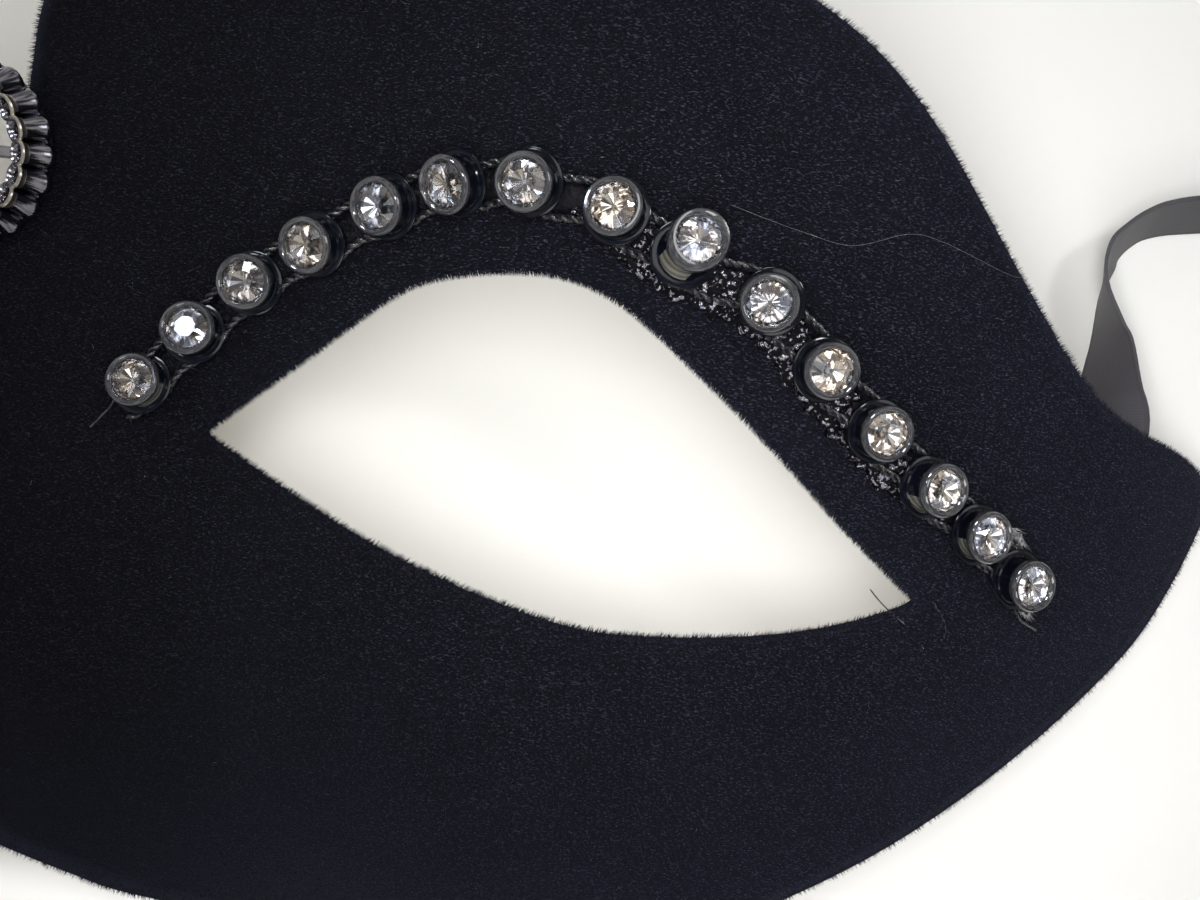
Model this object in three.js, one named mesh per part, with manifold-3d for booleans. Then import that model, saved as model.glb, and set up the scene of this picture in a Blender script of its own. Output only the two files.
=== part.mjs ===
// Velvet eye mask with a row of rhinestones over each eye, a jewelled brooch in the middle of the
// brow and two ribbon ties, lying face up. Millimetres, +Z up, +X to the wearer's left and +Y to
// the brow. The origin is under the middle of the mask, on the surface that it lies on.
import * as THREE from "three";
import { ParametricGeometry } from "three/addons/geometries/ParametricGeometry.js";
import { mergeGeometries, mergeVertices } from "three/addons/utils/BufferGeometryUtils.js";
import Module from "manifold-3d";

const wasm = await Module();
wasm.setup();
const { degToRad, clamp, lerp, mapLinear, smoothstep } = THREE.MathUtils;

// Moulded shell. Heights are over the mask's own plane, which the brow between the eyes lies in.
const WALL = 1.6; // thickness of the shell
const DOME = { rise: 4.5, from: 8, to: 42 }; // each side rises towards the middle of its eye
const TEMPLE_RADIUS = 52; // how the shell curves back round the temples, past the dome
const BROW = { from: 20, radius: 70 };
const CHEEK = { from: 4, radius: 70 };
const NOSE = { height: 5, width: 11, top: 18, length: 40 }; // the ridge over the nose
const REST_PITCH = degToRad(12.2); // laid down, it rests on both temples and both cheeks

// One half's outer edge in plan, from the notch in the brow round the temple to the nose
const NOTCH = [[0, 17.5], [2.4, 19.5], [3.2, 24], [3.5, 30], [3.7, 34.5], [5.8, 39], [11, 41.8]];
const BROW_EDGE = [[20, 43.2], [30, 43.5], [44, 41.5], [55.1, 37.6], [62, 32.3], [68, 24.9], [75.7, 16.7]];
const TEMPLE = [[79.7, 13.8], [84.1, 11.9], [89.8, 9.9], [93, 6.7], [91.9, 3.2], [88.5, -3.4], [85, -7]];
const CHEEK_EDGE = [[79.2, -12.1], [70.4, -19.1], [62.1, -24.4], [52, -30.4], [43, -34.8], [34.5, -36.5]];
const NOSE_ARCH = [[25, -37.6], [16, -37.2], [8.6, -34.5], [5.6, -31.8], [2.7, -29.4], [0, -27.6]];
const OUTLINE = [...NOTCH, ...BROW_EDGE, ...TEMPLE, ...CHEEK_EDGE, ...NOSE_ARCH];

// Both lids of one eye hole in plan, from the inner corner to the outer one
const UPPER_LID = [[16.8, 6.6], [23.3, 12], [30.4, 17.7], [34.5, 19], [38.4, 19.6], [41.6, 19.3],
  [45.3, 17.6], [53.8, 11], [59.8, 5.6], [66.2, 0.2]];
const LOWER_LID = [[16.8, 6.6], [22.1, 4], [28.6, 1.2], [35.2, -0.9], [42.4, -2.6], [47.1, -2.9],
  [56.9, -2.2], [63.2, -0.9], [66.2, 0.2]];

// The shell's net: steps round each eye hole, and rings from the eye hole to the outer edge. A key
// ties a step to a point of the outline and to a point of the eye, which is 0 at the inner corner,
// 1 at the outer corner by the upper lid and 2 at the inner corner again by the lower lid.
const RINGS = 4;
const EDGE_STEPS = 44; // from the notch to the nose arch
const STEPS = 52; // the others run up the middle line
const EDGE_KEYS = [[0, 0], [10, 8], [23, 17], [35, 26], [EDGE_STEPS, OUTLINE.length - 1]];
const EYE_KEYS = [[0, 0.1], [10, 0.5], [23, 1], [35, 1.5], [EDGE_STEPS, 1.9], [48, 2], [STEPS, 2.1]];

// Rhinestone trim: a black braid with a plastic cup for each stone
const BRAID = { width: 3.2, thick: 0.6, clear: 0.3, past: 1.8, steps: 20 };
const CUP = { sides: 7, flange: 2, foot: 0.35, waist: 1.62, rim: 1.8, bore: 1.46, height: 1.9, floor: 0.6 };
const STONE = { sides: 6, girdle: 1.3, table: 0.65, crown: 0.4, pavilion: 0.7, below: 0.5 };
const ROW = [[12.9, 9.6], [20.7, 17.1], [29.5, 22.7], [35.8, 24.8], [43.4, 23.8], [52.7, 19.1],
  [60.8, 12.1], [68.8, 5.5], [72.7, 1.9]];
// Each cup as it was sewn: its distance from the cup before it, and its lean towards the temple
// and towards the brow in degrees
const CUPS = [[0, 4, 18], [5.4, 8, 18], [5.4, 0, 6], [5.1, -2, -5], [5.5, -9, -4], [4.7, -15, -13],
  [4.5, -5, -3], [5.3, -2, 5], [4.8, 26, 26], [5.8, 5, 13], [5.5, 8, 3], [5.5, 10, 4],
  [5.7, 15, 6], [5.2, 17, 8], [5.7, 18, 14]];

// Brooch over the notch: a ring of small settings that lean inwards, six spokes and a larger
// setting in the middle
const BROOCH = { y: 23.7, clear: 0.35, ring: 5.65, lean: 28, settings: 20, spokes: 6 };
const SETTING = { sides: 6, radius: 0.98, height: 2, bore: 0.66, depth: 0.5 };
const CENTRE = { sides: 12, radius: 2.1, height: 2.6, bore: 1.8, depth: 0.9 };
const SPOKE = { from: 1.9, to: 5.2, width: 0.8, thick: 0.8, lift: 0.2 };
const SMALL_CRYSTAL = { sides: 5, girdle: 0.5, table: 0.26, crown: 0.17, pavilion: 0.28, below: 0.18 };
const LARGE_CRYSTAL = { sides: 8, girdle: 1.6, table: 0.8, crown: 0.45, pavilion: 0.7, below: 0.15 };

// Ribbon ties: each runs out from under its temple and is put away in turns beside it. Every
// ribbon has the body of a round cord as thick as the ribbon is wide.
const RIBBON = { width: 6, sides: 8, steps: 16, gap: 0.3 };
const COIL = { x: 134, y: -2, inner: 27, outer: 36.5, height: 6.4, sides: 20 };
const ROUTE = [[79, -1, 5.3], [80.3, 4, 5.4], [81.5, 9, 5.1], [82.4, 14.4, 4], [82.3, 19, 3.2], [81.9, 23.3, 3.1],
  [83.4, 27.2, 3.1], [88.7, 29.5, 3.1], [97, 30.2, 3.2], [110, 30.2, 3.2], [COIL.x, 30.2, 3.2]];

const material = (color, roughness, metalness) => new THREE.MeshStandardMaterial({ color, roughness, metalness });
const VELVET = material(0x14141c, 0.95, 0);
const BLACK_PLASTIC = material(0x08080a, 0.15, 0);
const CRYSTAL = material(0xe6e8ec, 0.05, 0.1);
const GUNMETAL = material(0x2a2b30, 0.3, 0.9);
const SATIN = material(0x37363c, 0.5, 0);

// Height of the shell's face side over the mask's own plane
function faceHeight(x, y) {
  const out = Math.abs(x);
  const along = clamp((out - DOME.from) / (DOME.to - DOME.from), 0, 1);
  const dome = (DOME.rise * (1 - Math.cos(Math.PI * along))) / 2;
  const temple = Math.max(out - DOME.to, 0) ** 2 / (2 * TEMPLE_RADIUS);
  const brow = Math.max(y - BROW.from, 0) ** 2 / (2 * BROW.radius);
  const cheek = Math.max(CHEEK.from - y, 0) ** 2 / (2 * CHEEK.radius);
  const nose = NOSE.height * Math.exp(-((x / NOSE.width) ** 2)) * smoothstep(NOSE.top - y, 0, NOSE.length);
  return dome - temple - brow - cheek + nose;
}

function faceNormal(x, y) {
  const step = 0.01;
  const slopeX = (faceHeight(x + step, y) - faceHeight(x - step, y)) / (2 * step);
  const slopeY = (faceHeight(x, y + step) - faceHeight(x, y - step)) / (2 * step);
  return new THREE.Vector3(-slopeX, -slopeY, 1).normalize();
}

// The point at a height over the face side, or below it where the lift is negative
function onFace(x, y, lift) {
  return new THREE.Vector3(x, y, faceHeight(x, y)).addScaledVector(faceNormal(x, y), lift);
}

const planCurve = (points) => new THREE.SplineCurve(points.map(([x, y]) => new THREE.Vector2(x, y)));
const outline = planCurve(OUTLINE);
const upperLid = planCurve(UPPER_LID);
const lowerLid = planCurve(LOWER_LID);

// The value that a list of [step, value] keys has at a step
function between(keys, step) {
  const next = keys.findIndex(([at]) => at >= step - 1e-9);
  if (next <= 0) return keys[0][1];
  const [from, low] = keys[next - 1];
  const [to, high] = keys[next];
  return mapLinear(step, from, to, low, high);
}

function outerPoint(step) {
  if (step <= EDGE_STEPS) return outline.getPoint(between(EDGE_KEYS, step) / (OUTLINE.length - 1));
  const up = (step - EDGE_STEPS) / (STEPS - EDGE_STEPS);
  return new THREE.Vector2(0, lerp(OUTLINE.at(-1)[1], OUTLINE[0][1], up));
}

function eyePoint(step) {
  const round = between(EYE_KEYS, step) % 2;
  return round <= 1 ? upperLid.getPointAt(round) : lowerLid.getPointAt(2 - round);
}

// A point of the shell's net: a share of the way from the eye hole to the outer edge, at a depth
// in the wall. Points on the middle line stay on it, so that the halves meet there.
function shellPoint(step, share, depth) {
  const plan = eyePoint(step).lerp(outerPoint(step), share);
  const point = onFace(plan.x, plan.y, -depth);
  if (plan.x < 1e-6) point.x = 0;
  return point;
}

// Geometries whose edges meet, as one, and a mirrored copy with its faces turned round
function welded(...geometries) {
  for (const geometry of geometries) {
    geometry.deleteAttribute("normal");
    geometry.deleteAttribute("uv");
  }
  return mergeVertices(mergeGeometries(geometries), 1e-4);
}

function mirrored(geometry) {
  const copy = geometry.clone().scale(-1, 1, 1);
  const index = copy.index.array;
  for (let i = 0; i < index.length; i += 3) [index[i + 1], index[i + 2]] = [index[i + 2], index[i + 1]];
  return copy;
}

function shellHalf() {
  const sheet = (place, steps, across) =>
    new ParametricGeometry((u, v, target) => target.copy(place(u, v)), steps, across);
  const front = sheet((u, v) => shellPoint(u * STEPS, v, 0), STEPS, RINGS);
  const back = sheet((u, v) => shellPoint(u * STEPS, 1 - v, WALL), STEPS, RINGS);
  const eyeRim = sheet((u, v) => shellPoint(u * STEPS, 0, (1 - v) * WALL), STEPS, 1);
  const outerRim = sheet((u, v) => shellPoint(u * EDGE_STEPS, 1, v * WALL), EDGE_STEPS, 1);
  return welded(front, back, eyeRim, outerRim);
}

function shell() {
  const half = shellHalf();
  return mergeVertices(mergeGeometries([half, mirrored(half)]), 1e-4);
}

// A geometry as a solid, and a solid as a geometry
function solid(geometry) {
  const merged = welded(geometry.clone());
  const vertProperties = new Float32Array(merged.attributes.position.array);
  const triVerts = new Uint32Array(merged.index.array);
  return new wasm.Manifold(new wasm.Mesh({ numProp: 3, vertProperties, triVerts }));
}

function geometryOf(body) {
  const { vertProperties, triVerts } = body.getMesh();
  const geometry = new THREE.BufferGeometry();
  geometry.setAttribute("position", new THREE.BufferAttribute(vertProperties, 3));
  return geometry.setIndex(new THREE.BufferAttribute(triVerts, 1));
}

const joined = (geometries) => geometryOf(geometries.map(solid).reduce((whole, piece) => whole.add(piece)));

// A turned piece that stands on its axis: its profile as [radius, height] points
function turned(profile, sides) {
  const points = profile.map(([radius, height]) => new THREE.Vector2(radius, height));
  return new THREE.LatheGeometry(points, sides).rotateX(Math.PI / 2);
}

function cupGeometry() {
  const { sides, flange, foot, waist, rim, bore, height, floor } = CUP;
  const outside = [[0, 0], [flange, 0], [waist, foot], [rim, height]];
  return turned([...outside, [bore, height], [bore, floor], [0, floor]], sides);
}

function settingGeometry({ sides, radius, height, bore, depth }) {
  const outside = [[0, 0], [radius, 0], [radius, height]];
  return turned([...outside, [bore, height], [bore, height - depth], [0, height - depth]], sides);
}

// A round-cut stone with its girdle in the plane of its origin
function cutStone({ sides, girdle, table, crown, pavilion }) {
  return turned([[0, -pavilion], [girdle, 0], [table, crown], [0, crown]], sides);
}

// The row over one eye, on the wearer's left
const row = new THREE.CatmullRomCurve3(planCurve(ROW).getPoints(60).map(({ x, y }) => onFace(x, y, 0)));
const rowLength = row.getLength();

// The braid is a straight strip, bent onto the face along the row
function braidGeometry() {
  const strip = new THREE.BoxGeometry(rowLength + 2 * BRAID.past, BRAID.width, BRAID.thick, BRAID.steps);
  const position = strip.attributes.position;
  for (let i = 0; i < position.count; i += 1) {
    const along = position.getX(i) + rowLength / 2;
    const share = clamp(along / rowLength, 0, 1);
    const tangent = row.getTangentAt(share);
    const plan = row.getPointAt(share).addScaledVector(tangent, along - share * rowLength);
    const side = faceNormal(plan.x, plan.y).cross(tangent).normalize();
    plan.addScaledVector(side, position.getY(i));
    const placed = onFace(plan.x, plan.y, BRAID.clear + BRAID.thick / 2 + position.getZ(i));
    position.setXYZ(i, placed.x, placed.y, placed.z);
  }
  return strip;
}

// Where each cup stands, with its own axis along +Z. A cup that leans stands higher, on its edge.
function cupPlaces() {
  const up = new THREE.Vector3(0, 0, 1);
  let along = 0;
  return CUPS.map(([gap, outwards, upwards]) => {
    along += gap;
    const base = row.getPointAt(Math.min(along / rowLength, 1));
    const axis = new THREE.Vector3(Math.tan(degToRad(outwards)), Math.tan(degToRad(upwards)), 1).normalize();
    const lean = axis.angleTo(faceNormal(base.x, base.y));
    const lift = BRAID.clear + Math.max(BRAID.thick - 0.05, CUP.flange * Math.sin(lean));
    const turn = new THREE.Quaternion().setFromUnitVectors(up, axis);
    return new THREE.Matrix4().compose(onFace(base.x, base.y, lift), turn, new THREE.Vector3(1, 1, 1));
  });
}

function stoneInCup(place) {
  const seat = place.clone().multiply(new THREE.Matrix4().makeTranslation(0, 0, CUP.height - STONE.below));
  return welded(cutStone(STONE).applyMatrix4(seat));
}

function named(name, geometry, look) {
  const mesh = new THREE.Mesh(geometry, look);
  mesh.name = name;
  return mesh;
}

const twoDigits = (i) => String(i + 1).padStart(2, "0");
const SIDES = [["left", (geometry) => geometry], ["right", mirrored]];

// The rows of both sides, the wearer's right being the left one mirrored
function addRows(mask) {
  const places = cupPlaces();
  const trim = joined([braidGeometry(), ...places.map((place) => cupGeometry().applyMatrix4(place))]);
  const stones = places.map(stoneInCup);
  for (const [side, seen] of SIDES) {
    mask.add(named(`rhinestone_trim_${side}`, seen(trim), BLACK_PLASTIC));
    stones.forEach((stone, i) => mask.add(named(`stone_${side}_${twoDigits(i)}`, seen(stone), CRYSTAL)));
  }
}

// The directions of a round pattern, as angles
const around = (count) => Array.from({ length: count }, (_, i) => (2 * Math.PI * i) / count);

function addBrooch(mask) {
  const brooch = new THREE.Group();
  brooch.position.set(0, BROOCH.y, BROOCH.clear);
  const inwards = -Math.tan(degToRad(BROOCH.lean));
  const leaning = new THREE.Matrix4().makeShear(0, 0, 0, 0, inwards, 0).setPosition(BROOCH.ring, 0, 0);
  const settings = around(BROOCH.settings).map((angle) =>
    settingGeometry(SETTING).applyMatrix4(leaning).rotateZ(angle));
  const spokes = around(BROOCH.spokes).map((angle) =>
    new THREE.BoxGeometry(SPOKE.to - SPOKE.from, SPOKE.width, SPOKE.thick)
      .translate((SPOKE.from + SPOKE.to) / 2, 0, SPOKE.lift + SPOKE.thick / 2)
      .rotateZ(angle));
  brooch.add(named("brooch_frame", joined([settingGeometry(CENTRE), ...settings, ...spokes]), GUNMETAL));
  around(BROOCH.settings).forEach((angle, i) => {
    const crystal = named(`brooch_crystal_${twoDigits(i)}`, cutStone(SMALL_CRYSTAL), CRYSTAL);
    const height = SETTING.height - SMALL_CRYSTAL.below;
    crystal.position.set(BROOCH.ring + inwards * height, 0, height);
    brooch.add(new THREE.Group().rotateZ(angle).add(crystal));
  });
  const centre = named("brooch_crystal_centre", cutStone(LARGE_CRYSTAL), CRYSTAL);
  centre.position.z = CENTRE.height - LARGE_CRYSTAL.below;
  brooch.add(centre);
  mask.add(brooch);
}

// The mask in its own frame, laid down on its temples and cheeks
function restingMask() {
  const mask = new THREE.Group();
  mask.add(named("mask_shell", shell(), VELVET));
  addRows(mask);
  addBrooch(mask);
  mask.rotation.x = REST_PITCH;
  mask.updateMatrixWorld(true);
  const box = new THREE.Box3().setFromObject(mask, true);
  mask.position.set(0, -(box.min.y + box.max.y) / 2, -box.min.z);
  return mask;
}

// A coil's outer shape, grown all over by a gap, on the surface that the mask lies on
function coilGeometry(gap) {
  const { x, y, inner, outer, height, sides } = COIL;
  const profile = [[inner - gap, -gap], [outer + gap, -gap], [outer + gap, height + gap], [inner - gap, height + gap]];
  return turned([...profile, profile[0]], sides).translate(x, y, 0);
}

function ribbonGeometry() {
  const route = new THREE.CatmullRomCurve3(ROUTE.map((point) => new THREE.Vector3(...point)));
  const round = around(RIBBON.sides).map((angle) =>
    new THREE.Vector2(Math.cos(angle), Math.sin(angle)).multiplyScalar(RIBBON.width / 2));
  const tube = new THREE.ExtrudeGeometry(new THREE.Shape(round), { steps: RIBBON.steps, extrudePath: route });
  return geometryOf(solid(tube).subtract(solid(coilGeometry(RIBBON.gap))));
}

function addRibbons(parent) {
  const ribbon = ribbonGeometry();
  const coil = welded(coilGeometry(0));
  for (const [side, seen] of SIDES) {
    parent.add(named(`ribbon_${side}`, seen(ribbon), SATIN));
    parent.add(named(`ribbon_coil_${side}`, seen(coil), SATIN));
  }
}

const object = new THREE.Group();
object.add(restingMask());
addRibbons(object);

export default object;
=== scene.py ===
# %% [markdown]
# # A velvet eye mask with rhinestones
# The mask lies face up on a pale surface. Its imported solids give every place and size, and this
# lesson dresses them: flocked velvet, cut stones in black cups, braid, a brooch and two ribbons.
# Everything is in metres, in the mask's own frame: +X to the wearer's left, +Y to the brow, +Z up.

import math

import bmesh
import bpy
import numpy as np
from mathutils import Matrix, Vector
from mathutils.bvhtree import BVHTree
from mathutils.noise import turbulence


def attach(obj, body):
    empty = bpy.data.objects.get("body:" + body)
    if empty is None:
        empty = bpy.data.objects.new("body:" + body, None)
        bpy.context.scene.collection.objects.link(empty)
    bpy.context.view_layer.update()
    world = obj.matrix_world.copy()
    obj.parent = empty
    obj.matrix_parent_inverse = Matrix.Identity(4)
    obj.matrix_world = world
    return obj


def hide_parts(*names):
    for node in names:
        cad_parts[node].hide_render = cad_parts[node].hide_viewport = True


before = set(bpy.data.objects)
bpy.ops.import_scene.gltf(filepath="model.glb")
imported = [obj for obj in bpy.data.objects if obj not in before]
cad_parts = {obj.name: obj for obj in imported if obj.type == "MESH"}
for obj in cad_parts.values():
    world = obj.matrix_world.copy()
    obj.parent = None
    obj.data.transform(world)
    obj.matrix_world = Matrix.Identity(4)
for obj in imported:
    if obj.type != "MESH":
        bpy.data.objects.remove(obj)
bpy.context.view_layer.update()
scene = bpy.context.scene
MM = 0.001
SIDES = {"left": 1, "right": -1}
draw = np.random.default_rng(7)

# %% [markdown]
# ## The camera
# The photograph is a macro picture of the wearer's left half, taken from about 9 cm straight above
# it, so the lens is near the stones and the near clipping distance is small. The camera's place and
# turns come from fitting the row of stones and the eye hole.


# %% Camera
def linked(name, data):
    """A new object in the scene with this data."""
    obj = bpy.data.objects.new(name, data)
    scene.collection.objects.link(obj)
    return obj


camera = linked("camera", bpy.data.cameras.new("camera"))
scene.camera = camera
camera.data.lens = 33
camera.data.sensor_width = 36
camera.data.clip_start = 0.005
camera.data.clip_end = 20
camera.location = Vector((48.08, 1.38, 93.96)) * MM
camera.rotation_euler = [math.radians(turn) for turn in (2.59, 3.22, 6.75)]
scene.view_settings.view_transform = "Standard"

# %% [markdown]
# ## Small helpers
# Operators act on whatever is selected, and the imported solids come in selected, so each step starts from
# nothing selected. A finished piece rides on the mask's one body and gets its materials.


# %% Helpers for pieces
def select_only(obj):
    bpy.ops.object.select_all(action="DESELECT")
    obj.select_set(True)
    bpy.context.view_layer.objects.active = obj


def finish_piece(obj, slot, *materials):
    indices = np.zeros(len(obj.data.polygons), np.int32)
    obj.data.polygons.foreach_get("material_index", indices)
    obj.data.materials.clear()
    for material in materials:
        obj.data.materials.append(material)
    obj.data.polygons.foreach_set("material_index", np.minimum(indices, len(materials) - 1))
    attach(obj, "root")
    print(obj.name, "has", len(obj.data.polygons), "faces")
    return obj


def mesh_piece(name, points, faces):
    """A new object from points in metres and faces that all have as many corners."""
    points, faces = np.asarray(points, np.float32), np.asarray(faces, np.int32)
    count, corners = faces.shape
    mesh = bpy.data.meshes.new(name)
    mesh.vertices.add(len(points))
    mesh.vertices.foreach_set("co", points.ravel())
    mesh.loops.add(faces.size)
    mesh.loops.foreach_set("vertex_index", faces.ravel())
    mesh.polygons.add(count)
    mesh.polygons.foreach_set("loop_start", np.arange(count, dtype=np.int32) * corners)
    mesh.update(calc_edges=True)
    mesh.validate()
    return linked(name, mesh)


def apply_modifier(obj, kind, **settings):
    select_only(obj)
    modifier = obj.modifiers.new(kind.title(), kind)
    for key, value in settings.items():
        setattr(modifier, key, value)
    bpy.ops.object.modifier_apply(modifier=modifier.name)


def tidy_mesh(obj, merge=1e-6, angle=40):
    """Merges doubles, turns all faces outwards and smooths all but the sharp edges."""
    select_only(obj)
    bpy.ops.object.mode_set(mode="EDIT")
    bpy.ops.mesh.select_all(action="SELECT")
    bpy.ops.mesh.remove_doubles(threshold=merge)
    bpy.ops.mesh.normals_make_consistent(inside=False)
    bpy.ops.object.mode_set(mode="OBJECT")
    bpy.ops.object.shade_smooth_by_angle(angle=math.radians(angle))


def curve_through(points, spans=8):
    """Points of a smooth curve through the given ones, as a Catmull-Rom spline."""
    points = np.asarray(points, float)
    padded = np.vstack([2 * points[0] - points[1], points, 2 * points[-1] - points[-2]])
    t = np.linspace(0, 1, spans, endpoint=False)[:, None]
    out = []
    for a, b, c, d in zip(padded, padded[1:], padded[2:], padded[3:]):
        out.append(0.5 * (2 * b + (c - a) * t + (2 * a - 5 * b + 4 * c - d) * t**2
                          + (3 * b - a - 3 * c + d) * t**3))
    return np.vstack(out + [points[-1:]])


def unit(vectors):
    vectors = np.asarray(vectors, float)
    return vectors / np.linalg.norm(vectors, axis=-1, keepdims=True)


def run_along(line):
    """How far along the line each of its points is."""
    return np.concatenate([[0], np.cumsum(np.linalg.norm(np.diff(line, axis=0), axis=1))])


# %% [markdown]
# ## Shader maths as Python
# A material's pattern is easier to read as an expression. `Wire` wraps an output socket, so that
# `1 - grain * 0.5` adds the Math nodes that it says, and `node` adds any other node.


# %% Wires and nodes
class Wire:
    def __init__(self, socket):
        self.socket = socket

    def math(self, operation, *others):
        return node(self.socket.id_data, "ShaderNodeMath", {"operation": operation}, self, *others)

    def __add__(self, other):
        return self.math("ADD", other)

    def __mul__(self, other):
        return self.math("MULTIPLY", other)

    def __sub__(self, other):
        return self.math("SUBTRACT", other)

    def __rsub__(self, other):
        return self * -1 + other

    def __pow__(self, power):
        return self.math("POWER", power)

    __radd__ = __add__
    __rmul__ = __mul__


def node(tree, kind, settings, *values, output=0, **named_values):
    made = tree.nodes.new(kind)
    for key, value in settings.items():
        if key == "stops":
            for stop, (place, shade) in zip(made.color_ramp.elements, value):
                stop.position = place
                stop.color = (*shade, 1) if isinstance(shade, tuple) else (shade, shade, shade, 1)
        else:
            setattr(made, key, value)
    inputs = list(enumerate(values)) + [(key.replace("_", " "), v) for key, v in named_values.items()]
    for key, value in inputs:
        if isinstance(value, Wire):
            tree.links.new(value.socket, made.inputs[key])
        else:
            made.inputs[key].default_value = value
    return Wire(made.outputs[output])


def place_on(tree):
    return node(tree, "ShaderNodeTexCoord", {}, output=3)


def noise(tree, scale, detail=2.0, vector=None, roughness=0.5):
    return node(tree, "ShaderNodeTexNoise", {}, Vector=vector or place_on(tree), Scale=scale,
                Detail=detail, Roughness=roughness)


def colour_mix(tree, amount, low, high):
    """Between two colours or wires, by an amount from 0 to 1."""
    made = tree.nodes.new("ShaderNodeMix")
    made.data_type = "RGBA"
    for socket, value in ((made.inputs[0], amount), (made.inputs[6], low), (made.inputs[7], high)):
        if isinstance(value, Wire):
            tree.links.new(value.socket, socket)
        else:
            socket.default_value = (*value, 1) if isinstance(value, tuple) else value
    return Wire(made.outputs[2])


def ramp(tree, value, *stops):
    return node(tree, "ShaderNodeValToRGB", {"stops": stops}, value)


def new_material(name, **values):
    """A material whose Principled shader has these plain values, and its node tree."""
    material = bpy.data.materials.new(name)
    material.use_nodes = True
    shader = material.node_tree.nodes["Principled BSDF"]
    for key, value in values.items():
        shader.inputs[key.replace("_", " ")].default_value = value
    return material, material.node_tree


def wire_up(tree, **wires):
    shader = tree.nodes["Principled BSDF"]
    for key, wire in wires.items():
        tree.links.new(wire.socket, shader.inputs[key.replace("_", " ")])


def bump(tree, height, strength, distance):
    return node(tree, "ShaderNodeBump", {}, Strength=strength, Distance=distance, Height=height)


# %% [markdown]
# ## Ribbon ties
# Each tie is a 6 mm satin ribbon. It is glued flat behind the temple, comes out over the edge, turns
# on its side and leaves on the table. The rest is put away in a neat coil beside the temple, where
# the ribbon stands on its edge. The route follows the solid's, with more places where the ribbon
# turns, and a formula makes the coil. The fourth number of a place is the ribbon's lean there, counted
# from lying flat: past 90 degrees it leans over to its left.

# %% Route of a ribbon
RIBBON_WIDTH = 6 * MM
RIBBON_THICK = 0.28 * MM
COIL_CENTRE = np.array([134, -2, 3.2]) * MM
COIL_TURNS = 1.6
COIL_RADIUS = 32.2 * MM
TURN_STEP = 2.4 * MM
ROUTE = np.array([(79, -1, 5.4, -36), (80.3, 4, 5.6, -32), (81.5, 9, 5.3, 0), (82.2, 12, 4.7, 34),
                  (82.4, 14.4, 4.1, 62), (82.5, 17.7, 3.3, 79), (82.3, 19.6, 3.1, 91),
                  (81.7, 22.9, 3.1, 108), (82.1, 25.3, 3.1, 115), (82.8, 26.6, 3.1, 110),
                  (84, 27.8, 3.1, 107), (85.6, 28.7, 3.1, 105), (88.7, 29.4, 3.1, 104),
                  (97, 30.2, 3.2, 100), (110, 30.2, 3.2, 90), (134, 30.2, 3.2, 90)])


def ribbon_path():
    """The ribbon's centre line in metres, and its lean in degrees at each point."""
    start = curve_through(ROUTE, 4)
    turn = np.linspace(0, COIL_TURNS * 2 * math.pi, int(COIL_TURNS * 48))[1:, None]
    radius = COIL_RADIUS - TURN_STEP * turn / (2 * math.pi)
    coil = COIL_CENTRE + radius * np.hstack([np.sin(turn), np.cos(turn), 0 * turn])
    return np.vstack([start[:, :3] * MM, coil]), np.append(start[:, 3], [90] * len(coil))


path, lean = ribbon_path()
path_run = run_along(path)

# %% [markdown]
# ### Satin
# Satin shows fine lengthwise threads, a soft band of light along them and a denser selvedge. The
# pattern follows the ribbon's own UV map: U across it and V along it, in ribbon widths.


# %% Satin material
def satin_material():
    material, tree = new_material("ribbon_satin", Roughness=0.45, Sheen_Weight=0.08, Sheen_Roughness=0.4,
                                  Specular_IOR_Level=0.3)
    uv = node(tree, "ShaderNodeUVMap", {"uv_map": "weave"})
    threads = node(tree, "ShaderNodeTexWave", {"bands_direction": "X"}, Vector=uv, Scale=14.0,
                   Distortion=0.6, Detail=1.0)
    picks = node(tree, "ShaderNodeTexWave", {"bands_direction": "Y"}, Vector=uv, Scale=11.0, Distortion=0.8)
    across = node(tree, "ShaderNodeSeparateXYZ", {}, uv)
    selvedge = ((across - 0.5).math("ABSOLUTE") - 0.44).math("GREATER_THAN", 0.0)
    cloud = noise(tree, 120.0)
    weave = threads * 0.6 + picks * 0.4
    colour = colour_mix(tree, weave * 0.5 + cloud * 0.5, (0.03, 0.028, 0.033), (0.07, 0.067, 0.078))
    wire_up(tree, Base_Color=colour, Roughness=0.46 + cloud * 0.15 + selvedge * 0.15,
            Normal=bump(tree, weave + selvedge * 0.8, 0.35, 0.00008))
    return material


satin = satin_material()

# %% [markdown]
# ### The ribbon's own shape
# A ribbon is a long thin strip, so its mesh is a flat closed section carried along the route and
# leant as the route says. Its first stretch is lifted off the route, to lie against the shell.


# %% Ribbons
GLUE_LIFT = 3.2 * MM
GLUE_END = 15 * MM
ACROSS = 6


def ribbon_sections():
    """For each point of the path, its centre, the way across the ribbon and the way through it."""
    ahead = unit(np.gradient(path, axis=0))
    flat = unit(np.cross(ahead, (0, 0, 1)))
    up = np.cross(flat, ahead)
    turn = np.radians(lean)[:, None]
    across = np.cos(turn) * flat + np.sin(turn) * up
    lift = GLUE_LIFT * np.clip(1 - path_run / GLUE_END, 0, 1)[:, None] ** 0.7
    return path + lift * np.array([0, 0, 1]), across, np.cross(ahead, across)


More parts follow.
